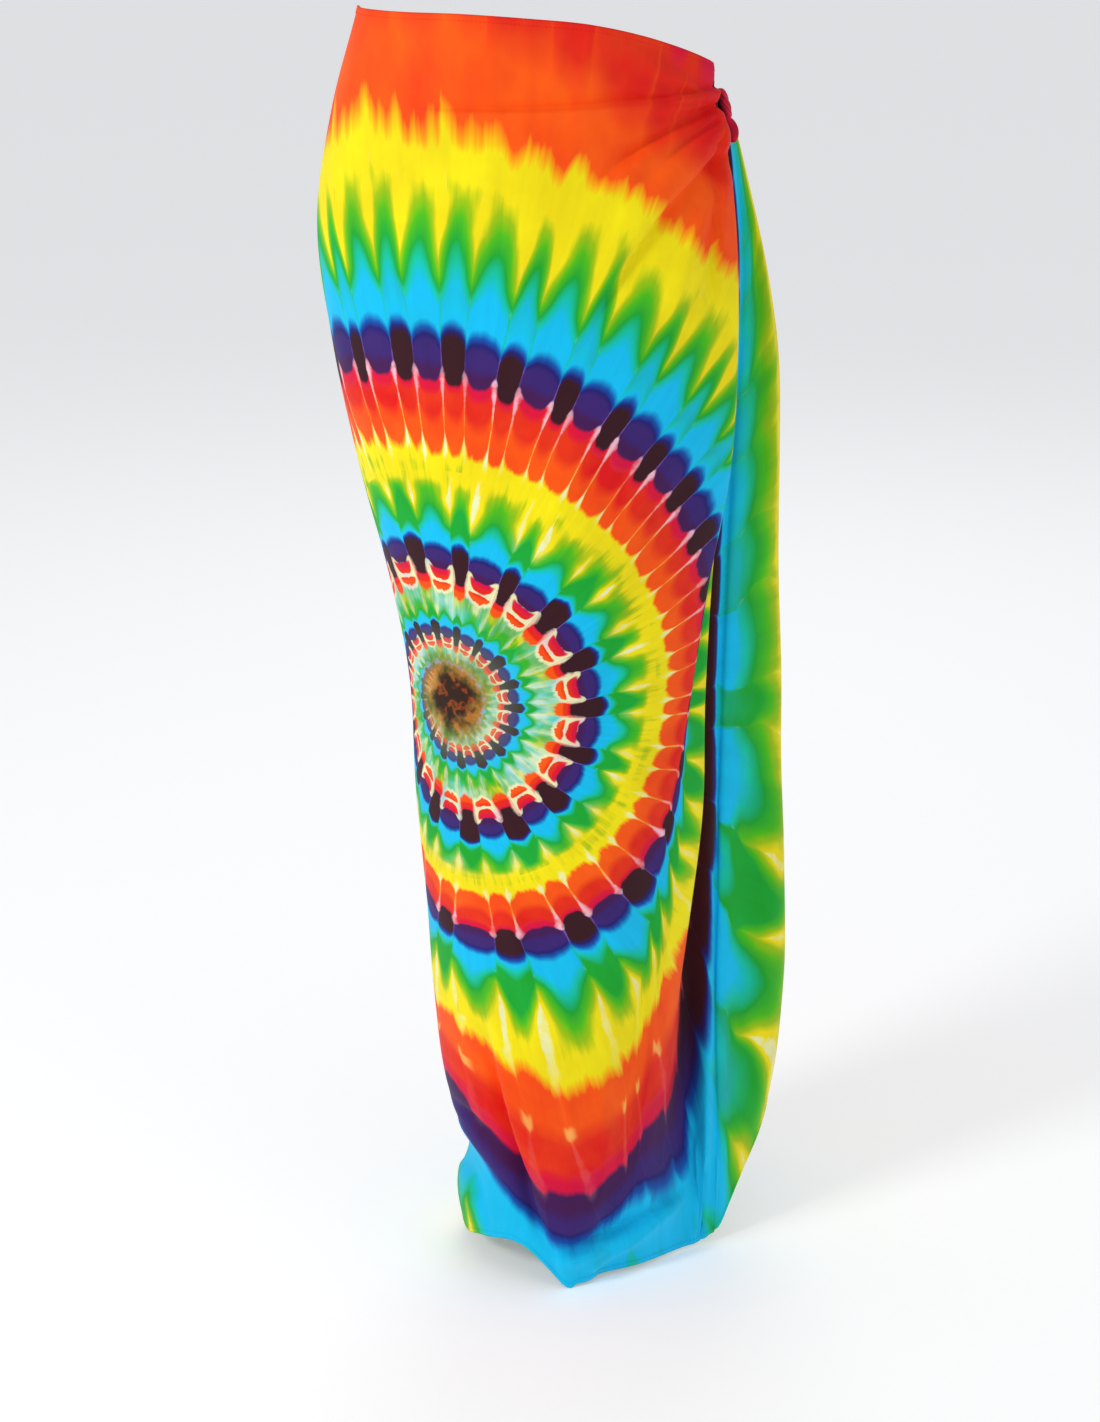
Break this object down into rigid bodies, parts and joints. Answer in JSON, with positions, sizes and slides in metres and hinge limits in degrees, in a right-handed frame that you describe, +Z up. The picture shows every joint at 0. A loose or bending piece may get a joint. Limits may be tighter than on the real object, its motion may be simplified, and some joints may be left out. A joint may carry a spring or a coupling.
{
  "type": "wrapped tie-dye sarong",
  "caption": "Ankle-length cloth wrapped round hips and legs, tied at one side with a hanging free end.",
  "frame": {"origin": "middle of the waist at the top edge's height, where the wearer's body holds the wrap", "axes": "+Z up along the wrap, the wearer faces -Y, +X to the wearer's left, where the knot is"},
  "size_m": [0.4067, 0.2418, 1.1013],
  "materials": {
    "cloth": "matte dyed rayon",
    "knot_cloth": "matte dyed rayon"
  },
  "bodies": {
    "root": {"front_wrap": "cloth", "back_wrap": "cloth", "cascade": "cloth", "knot": "knot_cloth", "knot_end": "knot_cloth"}
  },
  "joints": []
}
